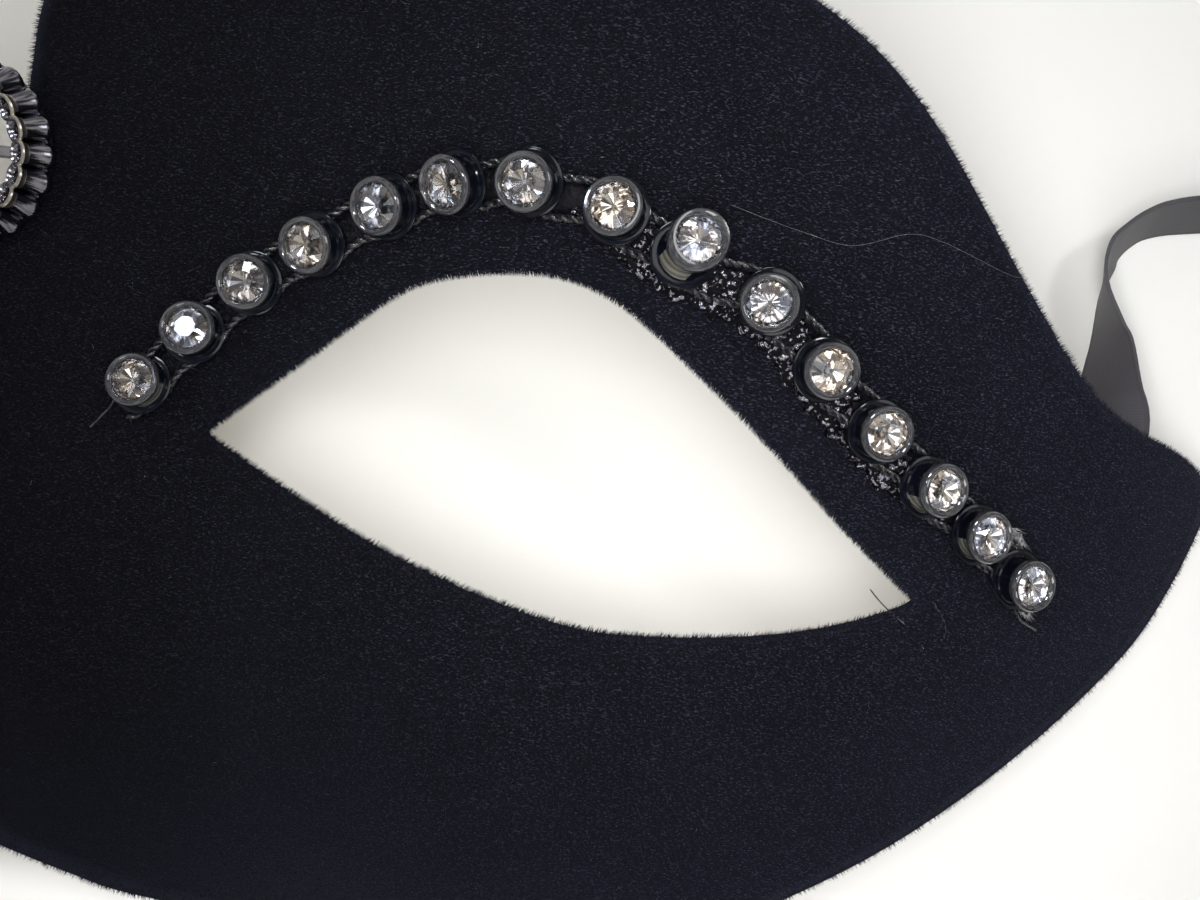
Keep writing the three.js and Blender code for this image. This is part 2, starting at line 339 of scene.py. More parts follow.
def make_ribbon(side, sign):
    centre, across, through = ribbon_sections()
    columns = np.linspace(-0.5, 0.5, ACROSS + 1)
    upper = [(c, 0.5) for c in columns]
    lower = [(c, -0.5) for c in columns[::-1]]
    section = np.array(upper + lower)
    rings, round_count = len(centre), len(section)
    points = (centre[:, None] + across[:, None] * section[:, :1] * RIBBON_WIDTH
              + through[:, None] * section[:, 1:] * RIBBON_THICK)
    points[:, :, 2] = np.maximum(points[:, :, 2], 0.02 * MM)
    ring, corner = np.meshgrid(np.arange(rings - 1), np.arange(round_count), indexing="ij")
    after = (corner + 1) % round_count
    quads = np.stack([ring * round_count + corner, ring * round_count + after,
                      (ring + 1) * round_count + after, (ring + 1) * round_count + corner], -1)
    caps = []
    for start in (0, (rings - 1) * round_count):
        for k in range(ACROSS):
            a, b = start + k, start + k + 1
            caps.append([a, start + round_count - 1 - k, start + round_count - 2 - k, b])
    points = points.reshape(-1, 3) * (sign, 1, 1)
    ribbon = mesh_piece(f"satin_ribbon_{side}", points, np.vstack([quads.reshape(-1, 4), caps]))
    weave = ribbon.data.uv_layers.new(name="weave")
    corners = np.zeros(len(ribbon.data.loops), np.int32)
    ribbon.data.loops.foreach_get("vertex_index", corners)
    uv = np.stack([section[corners % round_count, 0] + 0.5,
                   path_run[corners // round_count] / RIBBON_WIDTH], 1)
    weave.data.foreach_set("uv", uv.astype(np.float32).ravel())
    tidy_mesh(ribbon, merge=1e-7, angle=50)
    finish_piece(ribbon, "satin", satin)
    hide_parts(f"ribbon_{side}", f"ribbon_coil_{side}")


for side, sign in SIDES.items():
    make_ribbon(side, sign)

# %% [markdown]
# ## Black flocked velvet
# Flocking is a pile of short fibres shot into glue on a moulded shell. From near, it is almost black, with a
# fine grain and a faint blue sheen. The glints where the tips catch the light are painted into the colour.
# So is more sheen towards the temples, as a colour that grows lighter away from the middle. The shell itself
# is a smoothed copy of the imported solid, and the pile is real geometry: closed spikes with three sides.


# %% Velvet materials
def velvet_material(name, low, high, glint, shine=0.0):
    material, tree = new_material(name, Roughness=0.8, Sheen_Weight=shine, Sheen_Roughness=0.4,
                                  Sheen_Tint=(0.55, 0.62, 1.0, 1.0), Specular_IOR_Level=0.03)
    strokes = node(tree, "ShaderNodeMapping", {}, Vector=place_on(tree), Rotation=(0.0, 0.0, 0.6),
                   Scale=(1.0, 2.6, 1.0))
    grain = noise(tree, 6000.0, 2.0, strokes)
    nap = noise(tree, 90.0, 2.0)
    # Painted glints: specks where the fibres' tips catch the light are mixed into the colour
    tips = ramp(tree, noise(tree, 4200.0, 1.0, strokes), (0.58, 0.0), (0.72, 1.0))
    # Painted sheen: the colour and the painted glints grow lighter away from the middle, most at the temple
    # ends
    out = node(tree, "ShaderNodeSeparateXYZ", {}, place_on(tree)).math("ABSOLUTE")
    outwards = out * 14 + (out * 11) ** 8 * 0.8 + 0.2
    shade = colour_mix(tree, (grain * 0.6 + nap * 0.4) * outwards, low, high)
    wire_up(tree, Base_Color=colour_mix(tree, tips * outwards * 0.8, shade, glint),
            Normal=bump(tree, grain + nap * 0.4, 0.5, 0.0002))
    return material


velvet = velvet_material("velvet_ground", (0.001, 0.001, 0.0015), (0.008, 0.008, 0.013),
                         (0.04, 0.04, 0.06), 0.04)
pile = velvet_material("velvet_pile", (0.001, 0.001, 0.002), (0.019, 0.019, 0.03), (0.1, 0.1, 0.14), 0.05)
lint_white = velvet_material("lint", (0.06, 0.06, 0.07), (0.16, 0.16, 0.17), (0.3, 0.3, 0.3))
braid_fibre = velvet_material("braid_fibre", (0.2, 0.2, 0.22), (0.5, 0.5, 0.52), (0.9, 0.9, 0.9))


def lining_material():
    material, tree = new_material("shell_lining", Roughness=0.8, Sheen_Weight=0.1)
    weave = noise(tree, 2400.0, 2.0)
    wire_up(tree, Base_Color=colour_mix(tree, weave, (0.62, 0.58, 0.48), (0.8, 0.77, 0.68)),
            Normal=bump(tree, weave, 0.5, 0.00015))
    return material


def grained_material(name, grain, low, high, roughness, relief, **values):
    """Colour, roughness and relief that all follow one noise. The pairs are the noise's scale and
    detail, the least roughness and what the noise adds, and the bump's strength and distance."""
    material, tree = new_material(name, **values)
    height = noise(tree, *grain)
    wire_up(tree, Base_Color=colour_mix(tree, height, low, high),
            Roughness=roughness[0] + height * roughness[1], Normal=bump(tree, height, *relief))
    return material


lining = lining_material()

# %% [markdown]
# ### The smoothed shell
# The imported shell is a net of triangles. A copy has its doubles merged and its triangles joined into
# quads, so that a subdivision surface can round it. Creases keep the rims crisp. The faces are told
# apart by their normals: front, rim and back, which is lined. The solid's outside is the tips of the
# pile, so the ground is set back by the pile's depth.

# %% Shell
PITCH = math.radians(12.2)
MASK_UP = Vector((0, -math.sin(PITCH), math.cos(PITCH)))
FRONT, RIM, BACK = 0, 1, 2
CORNER_ANGLE = 115  # degrees between the rim's edges at the corners of the eyes
PILE_DEPTH = 0.28 * MM


def which_face(face):
    towards_front = face.normal.dot(MASK_UP)
    centre = face.calc_center_median()
    outwards = face.normal.x * math.copysign(1, centre.x)
    if towards_front > 0.6:
        return FRONT
    if towards_front < -0.6 and outwards < 0.3:
        return BACK
    return RIM


def smooth_shell():
    shell = linked("velvet_shell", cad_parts["mask_shell"].data.copy())
    build = bmesh.new()
    build.from_mesh(shell.data)
    bmesh.ops.remove_doubles(build, verts=build.verts, dist=1e-6)
    bmesh.ops.join_triangles(build, faces=build.faces, angle_face_threshold=math.radians(50),
                             angle_shape_threshold=math.radians(60))
    for face in build.faces:
        face.material_index = which_face(face)
        face.smooth = True
    crease = build.edges.layers.float.new("crease_edge")
    corner = build.verts.layers.float.new("crease_vert")
    for edge in build.edges:
        kinds = {face.material_index for face in edge.link_faces}
        edge[crease] = 0.9 if len(kinds) == 2 else 0.0
    for vert in build.verts:
        rims = [edge.other_vert(vert).co - vert.co for edge in vert.link_edges if edge[crease] > 0.5]
        if len(rims) == 2 and rims[0].angle(rims[1]) < math.radians(CORNER_ANGLE):
            vert[corner] = 1.0
    for edge in build.edges:
        if all(vert[corner] == 1.0 for vert in edge.verts):
            edge[crease] = 1.0
    print("the shell's net has", len(build.faces), "faces, corners", sum(v[corner] for v in build.verts))
    build.to_mesh(shell.data)
    build.free()
    finish_piece(shell, "velvet", velvet, velvet, lining)
    return shell


shell = smooth_shell()
apply_modifier(shell, "SUBSURF", levels=2, render_levels=2)
apply_modifier(shell, "DISPLACE", strength=-PILE_DEPTH, mid_level=0.0)
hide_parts("mask_shell")
shell_tree = BVHTree.FromObject(shell, bpy.context.evaluated_depsgraph_get())
print("the smooth shell has", len(shell.data.polygons), "faces")


def on_face(x, y, lift=0.0):
    """The point over the mask's face at a place in plan and a height over it, all in metres."""
    point, normal, _, _ = shell_tree.ray_cast(Vector((x, y, 0.1)), Vector((0, 0, -1)))
    if point is None:
        point, normal, _, _ = shell_tree.find_nearest(Vector((x, y, 0.02)))
    return point + normal * lift, normal


# %% [markdown]
# ### The pile
# Roots are drawn at random on the shell's triangles, each triangle as likely as it is large. The
# fibres lean a little along the nap. At the rims they are longer and denser, which gives the mask its
# fuzzy outline.


# %% Fibres
def triangles_of(obj, kinds):
    """The corner points of the mesh's triangles of the given slots."""
    mesh = obj.data
    mesh.calc_loop_triangles()
    corners = np.zeros(len(mesh.loop_triangles) * 3, np.int32)
    slots = np.zeros(len(mesh.loop_triangles), np.int32)
    points = np.zeros(len(mesh.vertices) * 3)
    mesh.loop_triangles.foreach_get("vertices", corners)
    mesh.loop_triangles.foreach_get("material_index", slots)
    mesh.vertices.foreach_get("co", points)
    corners = points.reshape(-1, 3)[corners.reshape(-1, 3)]
    return corners[np.isin(slots, kinds)]


def roots_on(corners, count):
    """Random points on triangles, and the triangles' normals there."""
    cross = np.cross(corners[:, 1] - corners[:, 0], corners[:, 2] - corners[:, 0])
    area = np.linalg.norm(cross, axis=1)
    chosen = draw.choice(len(corners), count, p=area / area.sum())
    u, v = draw.random((2, count, 1))
    fold = u + v > 1
    u, v = np.where(fold, 1 - u, u), np.where(fold, 1 - v, v)
    a, b, c = corners[chosen].transpose(1, 0, 2)
    return a + u * (b - a) + v * (c - a), unit(cross)[chosen]


def spikes(name, roots, along, lengths, radius):
    """Closed spikes with three sides, as one mesh."""
    along = unit(along)
    side = unit(np.cross(along, unit(draw.normal(size=along.shape))))
    other = np.cross(along, side)
    turn = np.radians([0, 120, 240])
    ring = (np.cos(turn)[None, :, None] * side[:, None] + np.sin(turn)[None, :, None] * other[:, None])
    feet = roots[:, None] - along[:, None] * 0.05 * MM + ring * radius
    tips = roots + along * lengths[:, None]
    points = np.concatenate([feet, tips[:, None]], 1)
    first = np.arange(len(roots))[:, None, None] * 4
    faces = first + np.array([[0, 2, 1], [0, 1, 3], [1, 2, 3], [2, 0, 3]])
    return mesh_piece(name, points.reshape(-1, 3), faces.reshape(-1, 3))


FACE_FIBRES = 46000  # on each half of the face
RIM_FIBRES = 46000  # on each half's rims
NAP = np.array([0.3, -0.18, 0.0])


def grow_pile():
    face, rim = triangles_of(shell, [FRONT]), triangles_of(shell, [RIM])
    for side, sign in SIDES.items():
        towards = NAP * (sign, 1, 1)
        half = face[face.mean(1)[:, 0] * sign > 0]
        roots, normals = roots_on(half, FACE_FIBRES)
        along = normals + towards + draw.normal(0, 0.22, roots.shape)
        lengths = draw.uniform(0.22, 0.42, len(roots)) * MM
        coat = spikes(f"velvet_pile_{side}", roots, along, lengths, 0.028 * MM)
        finish_piece(coat, "velvet", pile)
        half = rim[rim.mean(1)[:, 0] * sign > 0]
        roots, normals = roots_on(half, RIM_FIBRES)
        along = normals + towards * 0.9 + draw.normal(0, 0.16, roots.shape)
        lengths = draw.uniform(0.28, 0.54, len(roots)) * MM
        fringe = spikes(f"velvet_fringe_{side}", roots, along, lengths, 0.026 * MM)
        finish_piece(fringe, "velvet", pile)


grow_pile()

# %% [markdown]
# ## Cut stones in their cups
# The stones are foiled glass: clear on top, a mirror behind. The crown's facets are see-through glass, and
# the facets below the girdle are metal, so light goes in, is thrown back by the foil and comes out in
# glints. The foil is painted darker towards the brooch, as painted shade. The imported stones say where each
# one sits. Their leans are only a start here, and most are turned from there.


# %% Where a stone sits
def seat_of(name):
    """A packed stone's place: its girdle's centre, with its axis along +Z."""
    points = np.array([v.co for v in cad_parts[name].data.vertices])
    points = np.unique(points.round(7), axis=0)
    middle = points.mean(0)
    _, axes = np.linalg.eigh(np.cov((points - middle).T))
    axis = Vector(axes[:, 0])
    if axis.dot(MASK_UP) < 0:
        axis = -axis
    reach = np.linalg.norm(np.cross(points - middle, np.array(axis)), axis=1)
    girdle = Vector(points[reach > 0.9 * reach.max()].mean(0))
    turn = Vector((0, 0, 1)).rotation_difference(axis)
    return Matrix.LocRotScale(girdle, turn, None)


# How far the stones and cups are turned from their imported solids, set against the photograph: towards the
# temple and towards the brow, in degrees
LEANS = {1: (-4, 0), 2: (-6, 0), 4: (-10, 0), 5: (-9, 0), 6: (-10, 2), 7: (-5, 0), 8: (-5, 5),
         9: (-18, -18), 10: (-14, -14), 11: (5, 0), 12: (8, 0), 13: (12, 0), 14: (9, 0), 15: (7, -7)}


def leant(seat, number, sign):
    outwards, upwards = LEANS.get(number, (0, 0))
    lean = (Matrix.Rotation(math.radians(outwards * sign), 4, "Y")
            @ Matrix.Rotation(math.radians(-upwards), 4, "X"))
    return Matrix.Translation(seat.translation) @ lean @ seat.to_3x3().to_4x4()


def glass_material():
    material, _ = new_material("stone_glass", Base_Color=(1.0, 1.0, 1.0, 1.0), Roughness=0.0,
                               IOR=1.52, Transmission_Weight=1.0)
    return material


def foil_material(name, warm, cool):
    material, tree = new_material(name, Metallic=1.0, Roughness=0.07)
    cloud = noise(tree, 700.0, 1.0)
    out = node(tree, "ShaderNodeSeparateXYZ", {}, place_on(tree)).math("ABSOLUTE")
    # Painted shade: the foil's colour is darker towards the middle, by the brooch
    painted_shade_towards_middle = ramp(tree, out * 10, (0.32, 0.62), (0.6, 1.0))
    colour = ramp(tree, cloud, (0.38, warm), (0.62, cool))
    wire_up(tree, Base_Color=colour_mix(tree, painted_shade_towards_middle, (0.0, 0.0, 0.0), colour), Roughness=0.06 + cloud * 0.08)
    return material


stone_glass = glass_material()
stone_foil = foil_material("stone_foil", (0.97, 0.88, 0.78), (0.84, 0.88, 0.98))
smoky_foil = foil_material("smoky_foil", (0.05, 0.045, 0.04), (0.03, 0.033, 0.04))

# %% [markdown]
# ### The cut
# A chaton cut has a flat table with eight sides, a ring of facets down to the girdle, and a
# pavilion that runs down to a small flat end. Its corners are placed ring by ring, and the convex
# hull operator stretches the facets over them.

# %% Cut a stone
# Each ring of the cut: corners, radius and height as shares of the girdle's radius, and its turn as
# a share of the step between two corners
CHATON = ((8, 0.52, 0.24, 0.5), (8, 1.0, 0.02, 0), (8, 1.0, 0.02, 0.5), (16, 1.0, -0.02, 0),
          (8, 0.1, -0.36, 0.5))


def cut_stone(name, radius, seat, spin, foil):
    points = []
    for corners, out, height, offset in CHATON:
        for k in range(corners):
            angle = 2 * math.pi * (k + offset) / corners + spin
            points.append((radius * out * math.cos(angle), radius * out * math.sin(angle), radius * height))
    mesh = bpy.data.meshes.new(name)
    mesh.from_pydata(points, [], [])
    stone = linked(name, mesh)
    select_only(stone)
    bpy.ops.object.mode_set(mode="EDIT")
    bpy.ops.mesh.select_all(action="SELECT")
    bpy.ops.mesh.convex_hull()
    bpy.ops.mesh.normals_make_consistent(inside=False)
    bpy.ops.object.mode_set(mode="OBJECT")
    for face in stone.data.polygons:
        face.material_index = int(face.center.z < -0.01 * radius)
    stone.data.transform(seat)
    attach(stone, "root")
    stone.data.materials.append(stone_glass)
    stone.data.materials.append(foil)
    return stone


STONE_RADIUS = 1.33 * MM
NUMBERS = range(1, 16)  # of the stones and cups on each side
seats = {}
for side, sign in SIDES.items():
    for number in NUMBERS:
        node_name = f"stone_{side}_{number:02d}"
        seats[node_name] = leant(seat_of(node_name), number, sign)
        stone = cut_stone(f"rhinestone_{side}_{number:02d}", STONE_RADIUS, seats[node_name], 0.41 * number,
                          stone_foil)
        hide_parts(node_name)
print("cut", len(seats), "stones of", STONE_RADIUS * 2000, "mm")

# %% [markdown]
# ### The cups
# Each cup is moulded black plastic: a thin round flange that is sewn down, a slightly waisted wall and a
# rounded bezel, flush with the stone, painted a little grey for the soft reflections it shows. It is a
# turned shape, so half its section is drawn once and spun about the axis.


# %% Cups
def plastic_material(name, low, high, roughness, shine):
    material, tree = new_material(name, IOR=1.5, Specular_IOR_Level=shine, Coat_Weight=shine,
                                  Coat_Roughness=roughness)
    flow = noise(tree, 420.0, 2.0)
    scuffs = noise(tree, 2300.0, 3.0)
    wire_up(tree, Base_Color=colour_mix(tree, flow, low, high), Roughness=scuffs * 0.1 + roughness)
    return material


def painted_glow_wall_material():
    """Opaque, with painted light: coloured as smoky plastic with warm light showing through it, and with
    fine ribs.
    """
    material, tree = new_material("painted_glow_wall", Roughness=0.25, IOR=1.53, Coat_Weight=0.4)
    ribs = node(tree, "ShaderNodeTexWave", {"bands_direction": "Z"}, Vector=place_on(tree), Scale=850.0,
                Distortion=1.5, Detail=1.0)
    cloud = noise(tree, 900.0, 2.0)
    painted_glow_streaks = ribs * 0.6 + cloud * 0.4
    wire_up(tree, Base_Color=colour_mix(tree, painted_glow_streaks, (0.02, 0.02, 0.02), (0.12, 0.115, 0.095)),
            Normal=bump(tree, ribs, 0.3, 0.00005))
    return material


cup_plastic = plastic_material("cup_plastic", (0.001, 0.0014, 0.003), (0.003, 0.0036, 0.007), 0.08, 0.18)
# Painted reflection: the bezel is a lighter grey copy of the cups' black plastic
bezel_painted_reflection = plastic_material("bezel_painted_reflection", (0.014, 0.0145, 0.018), (0.036, 0.037, 0.042), 0.04, 1)
painted_glow_wall = painted_glow_wall_material()

# Half the section of a cup, from the axis under the flange to the axis in the recess, in
# millimetres, with the girdle of the stone at height 0
CUP_SECTION = [(0, -1.4), (2.04, -1.4), (2.08, -1.34), (2.06, -1.26), (1.98, -1.22), (1.7, -1.22),
               (1.63, -1.14), (1.62, -0.8), (1.63, -0.45), (1.7, -0.3), (1.77, -0.15), (1.79, 0.02),
               (1.75, 0.17), (1.64, 0.27), (1.52, 0.28), (1.42, 0.21), (1.36, 0.08), (1.33, -0.05),
               (1.25, -0.12), (0.7, -0.6), (0, -0.85)]


def spin_section(name, section, steps):
    """A turned piece from half its section, given as (radius, height) in millimetres."""
    mesh = bpy.data.meshes.new(name)
    points = [(radius * MM, 0, height * MM) for radius, height in section]
    mesh.from_pydata(points, [(i, i + 1) for i in range(len(points) - 1)], [])
    obj = linked(name, mesh)
    select_only(obj)
    bpy.ops.object.mode_set(mode="EDIT")
    bpy.ops.mesh.select_all(action="SELECT")
    bpy.ops.mesh.spin(steps=steps, angle=2 * math.pi, center=(0, 0, 0), axis=(0, 0, 1))
    bpy.ops.object.mode_set(mode="OBJECT")
    tidy_mesh(obj, merge=1e-6, angle=35)
    return obj


def joined_copies(pattern, name, places):
    """One object with a copy of the pattern's mesh at each place."""
    copies = []
    for place in places:
        copy = linked(name, pattern.data.copy())
        copy.data.transform(place)
        copies.append(copy)
    select_only(copies[0])
    for copy in copies:
        copy.select_set(True)
    bpy.ops.object.join()
    return bpy.context.view_layer.objects.active


# The turns above don't show enough of the wall of these cups, so they are also sheared, set against the
# photograph: number, and how far the rim is off the foot, towards the temple and towards the brow, as shares
# of the height
SKEWS = {9: (0.5, 0.5), 13: (0.25, 0), 15: (0.2, -0.15)}
# The cups with painted warm light on one side of the wall, as if it were thin and clear there: number, and
# the way that side faces in plan
PAINTED_GLOW_WALLS = {1: (0.75, -0.65), 9: (-0.6, -0.8), 13: (-0.7, -0.7), 14: (-0.7, -0.7)}
WALL, PAINTED_GLOW, BEZEL = 0, 1, 2


def bezel_faces(cup):
    """The slot of each face of the pattern. Joining clears the slots, so they are set after it."""
    reach = [math.hypot(face.center.x, face.center.y) for face in cup.data.polygons]
    height = [face.center.z for face in cup.data.polygons]
    return [BEZEL if z > -0.3 * MM and r > 1.3 * MM else WALL for r, z in zip(reach, height)]


def cup_place(side, sign, number):
    outwards, upwards = SKEWS.get(number, (0, 0))
    skew = Matrix.Identity(4)
    skew[0][2], skew[1][2] = outwards * sign, upwards
    return seats[f"stone_{side}_{number:02d}"] @ skew


# Painted light: the wall faces on that side of these cups get the warm glowing colour
def paint_glow_walls(cups, side, sign):
    for number, (x, y) in PAINTED_GLOW_WALLS.items():
        up = cup_place(side, sign, number).inverted()
        towards = (up.to_3x3() @ Vector((x * sign, y, 0))).normalized()
        for face in cups.data.polygons:
            centre = (up @ face.center) / MM
            radius = math.hypot(centre.x, centre.y)
            facing = centre.xy.dot(towards.xy) / max(radius, 0.01)
            if 1.5 < radius < 1.9 and -1.1 < centre.z < -0.35 and facing > 0.8:
                face.material_index = PAINTED_GLOW


cup = spin_section("cup", CUP_SECTION, 32)
for side, sign in SIDES.items():
    places = [cup_place(side, sign, number) for number in NUMBERS]
    cups = joined_copies(cup, f"stone_cups_{side}", places)
    cups.data.polygons.foreach_set("material_index", bezel_faces(cup) * len(places))
    paint_glow_walls(cups, side, sign)
    finish_piece(cups, "black_plastic", cup_plastic, painted_glow_wall, bezel_painted_reflection)
    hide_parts(f"rhinestone_trim_{side}")
bpy.data.objects.remove(cup)

# %% [markdown]
# ### Braid and thread
# The cups are sewn onto a narrow black braid that is soaked in clear glue, so it is lumpy and
# glittery. A twisted thread runs past the cups on both sides and shows between them. The braid is a
# strip that follows the row, pushed about by noise. The thread is two plies wound round each other.


# %% The row under the cups
def row_of(side):
    """A smooth line under the cups with the ways along, across to the brow, and up, at each point."""
    feet = []
    for number in NUMBERS:
        foot = cup_place(side, SIDES[side], number) @ Vector((0, 0, CUP_SECTION[0][1] * MM))
        feet.append(on_face(foot.x, foot.y)[0])
    first, last = feet[0] * 2 - feet[1], feet[-1] * 2 - feet[-2]
    ends = [feet[0].lerp(first, 0.45), *feet, feet[-1].lerp(last, 0.45)]
    line = curve_through(ends, 24)
    ahead = unit(np.gradient(line, axis=0))
    up = np.array([on_face(x, y)[1] for x, y, _ in line])
    brow = unit(np.cross(up, ahead)) * (1 if side == "left" else -1)
    return line, ahead, brow, up


def glitter_material():
    material, tree = new_material("glitter_film", Specular_IOR_Level=0.12)
    creases = noise(tree, 3000.0, 3.0, roughness=0.65)
    flakes = ramp(tree, creases, (0.56, 0.0), (0.62, 1.0))
    hue = noise(tree, 1300.0, 1.0)
    bright = colour_mix(tree, hue, (0.2, 0.16, 0.32), (1.0, 0.97, 1.0))
    wire_up(tree, Base_Color=colour_mix(tree, flakes, (0.002, 0.002, 0.003), bright), Metallic=flakes,
            Roughness=0.08 + hue * 0.2, Normal=bump(tree, creases, 0.7, 0.0003))
    return material


glued_braid = grained_material("glued_braid", (3600.0, 4.0), (0.001, 0.001, 0.002), (0.006, 0.006, 0.009),
                               (0.25, 0.4), (0.7, 0.0002), Specular_IOR_Level=0.15)
glitter_strip = glitter_material()
sewing_thread = grained_material("sewing_thread", (4200.0, 2.0), (0.001, 0.001, 0.002),
                                 (0.014, 0.014, 0.018), (0.15, 0.25), (0.5, 0.00008),
                                 Coat_Weight=0.9, Coat_Roughness=0.1)


# %% Braid strips
def lumps(points, scale, seed):
    """Heights of a crumpled surface at points, with sharp folds."""
    shift = Vector((seed, 0, 0))
    return np.array([turbulence(Vector(p) * scale + shift, 3, True) for p in points])


def strip_on(name, side, reach, columns, thickness, height):
    """A closed strip along the row, from one reach to another across it, with a height at each point."""
    line, _, brow, _ = row_of(side)
    share = np.linspace(0, 16, len(line))
    low, high = reach(share)
    kept = high - low > 0.02
    line, brow, low, high = line[kept], brow[kept], low[kept, None], high[kept, None]
    column = np.linspace(0, 1, columns)
    flat = (line[:, None] + brow[:, None] * ((low + (high - low) * column) * MM)[..., None]).reshape(-1, 3)
    lift = height(flat, np.tile(column, len(line)))
    bottom, top = [], []
    for (x, y, _), up in zip(flat, lift):
        base, normal = on_face(x, y)
        bottom.append(base - normal * 0.1 * MM)
        top.append(base + normal * (thickness + up) * MM)
    rows = len(line)
    i, j = np.meshgrid(np.arange(rows - 1), np.arange(columns - 1), indexing="ij")
    near, far = i * columns + j, (i + 1) * columns + j
    upper = np.stack([near, far, far + 1, near + 1], -1).reshape(-1, 4)
    under = rows * columns
    edge = [k * columns for k in range(rows)] + [(rows - 1) * columns + k for k in range(1, columns)]
    edge += [k * columns + columns - 1 for k in range(rows - 2, -1, -1)] + list(range(columns - 2, 0, -1))
    wall = [[b, a, a + under, b + under] for a, b in zip(edge, edge[1:] + edge[:1])]
    return mesh_piece(name, np.array(top + bottom), np.vstack([upper, upper[:, ::-1] + under, wall]))


def braid_reach(share):
    ends = np.clip(np.minimum(share, 16 - share) * 2.5, 0.02, 1)
    return -0.95 * ends, 0.95 * ends


def glitter_reach(share):
    """The glittery strip shows on the eye's side, from the eighth cup to the thirteenth."""
    ends = np.clip((share - 7.4) * 1.1, 0, 1) * np.clip((13.6 - share) * 0.9, 0, 1)
    ragged = 0.3 * np.sin(share * 9.1) * np.sin(share * 23.7)
    return -(0.7 + 1.5 * ends + ragged * ends), -0.7 + 1.5 * ends


def braid_height(flat, column):
    return np.sin(np.pi * column) ** 0.5 * 0.2 + 0.3 * lumps(flat, 1500, 7.7)


def glitter_height(flat, column):
    folds = 0.5 * lumps(flat, 900, 4.4) + 0.16 * lumps(flat, 2400, 1.3)
    return 0.1 + 0.2 * np.sin(np.pi * column) + folds


def make_braid(side):
    braid = strip_on(f"braid_{side}", side, braid_reach, 12, 0.15, braid_height)
    tidy_mesh(braid, merge=1e-8, angle=60)
    finish_piece(braid, "black_plastic", glued_braid)
    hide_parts(f"rhinestone_trim_{side}")
    glitter = strip_on(f"glitter_{side}", side, glitter_reach, 22, 0.1, glitter_height)
    finish_piece(glitter, "black_plastic", glitter_strip)


for side in SIDES:
    make_braid(side)


# %% Threads
CUP_STEP = 5.3 * MM  # from one cup to the next


def tube(name, lines, radius, slot, material):
    """Round threads along lines of points, with closed ends, as one mesh."""
    data = bpy.data.curves.new(name, "CURVE")
    data.dimensions = "3D"
    data.bevel_depth = radius
    data.bevel_resolution = 1
    data.use_fill_caps = True
    for line in lines:
        spline = data.splines.new("POLY")
        spline.points.add(len(line) - 1)
        spline.points.foreach_set("co", np.hstack([line, np.ones((len(line), 1))]).ravel())
    thread = linked(name, data)
    select_only(thread)
    bpy.ops.object.convert(target="MESH")
    thread = bpy.context.view_layer.objects.active
    tidy_mesh(thread, merge=1e-8, angle=60)
    return finish_piece(thread, slot, material)


def twisted(line, side_way, up_way, run, ply, lay):
    """Two plies wound round a line, with the ways across and up at each point."""
    plies = []
    for phase in (0, math.pi):
        turn = (2 * math.pi * run / lay + phase)[:, None]
        plies.append(line + ply * (np.cos(turn) * side_way + np.sin(turn) * up_way))
    return plies


def make_threads(side):
    line, _, brow, up = row_of(side)
    run = run_along(line)
    plies = []
    for towards, bow, lay in ((1, 0.0, 1.25 * MM), (-1, math.pi, 1.4 * MM)):
        swing = np.cos(2 * math.pi * run / CUP_STEP + bow)
        offset = towards * (1.2 + 0.2 * swing) * MM
        height = (0.75 - 0.1 * swing) * MM
        middle = line + brow * offset[:, None] + up * height[:, None]
        plies += twisted(middle, brow, up, run, 0.15 * MM, lay)
    tube(f"stitching_{side}", plies, 0.16 * MM, "black_plastic", sewing_thread)


for side in SIDES:
    make_threads(side)

# %% [markdown]
# ## The brooch
# Over the notch sits a round brooch in dark polished metal: a basket of small settings that lean
# inwards, each with a smoky crystal, round a larger one in the middle. The leaning walls catch the
# light as bars. The gaps between the spokes are open to the table.


# %% Brooch
# Painted highlight: the rims of the settings get a lighter metal than the gunmetal below
def rim_metal_material():
    material, tree = new_material("rim_painted_highlight", Metallic=1.0, Roughness=0.18)
    rim_mottle = noise(tree, 1500.0, 2.0)
    wire_up(tree, Base_Color=colour_mix(tree, rim_mottle, (0.5, 0.47, 0.42), (0.85, 0.8, 0.7)),
            Roughness=0.2 + rim_mottle * 0.2)
    return material


gunmetal = grained_material("gunmetal", (900.0, 3.0), (0.14, 0.14, 0.17), (0.42, 0.41, 0.45),
                            (0.07, 0.12), (0.06, 0.0001), Metallic=1.0)
rim_painted_highlight = rim_metal_material()
SETTING_SECTION = [(0, 0), (0.9, 0), (0.94, 0.1), (0.9, 0.3), (0.76, 1.5), (0.8, 1.75), (0.88, 1.88),
                   (0.85, 2.0), (0.74, 2.04), (0.6, 1.9), (0.53, 1.6), (0, 1.5)]
CENTRE_SECTION = [(0, 0), (1.6, 0), (1.7, 0.1), (1.62, 0.3), (1.66, 1.6), (1.95, 2.1), (2.1, 2.4),
                  (2.08, 2.55), (1.95, 2.6), (1.82, 2.54), (1.66, 2.2), (1.2, 1.8), (0, 1.6)]
BASE_SECTION = [(4.9, -0.1), (6.0, -0.1), (6.05, 0), (5.9, 0.3), (5.5, 0.4), (5.0, 0.3), (4.85, 0.1),
                (4.9, -0.1)]
RING_RADIUS = 5.65 * MM  # at the feet of the settings
LEAN = math.radians(32)
CENTRE_HEIGHT = 2.45 * MM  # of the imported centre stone's girdle over the brooch's base


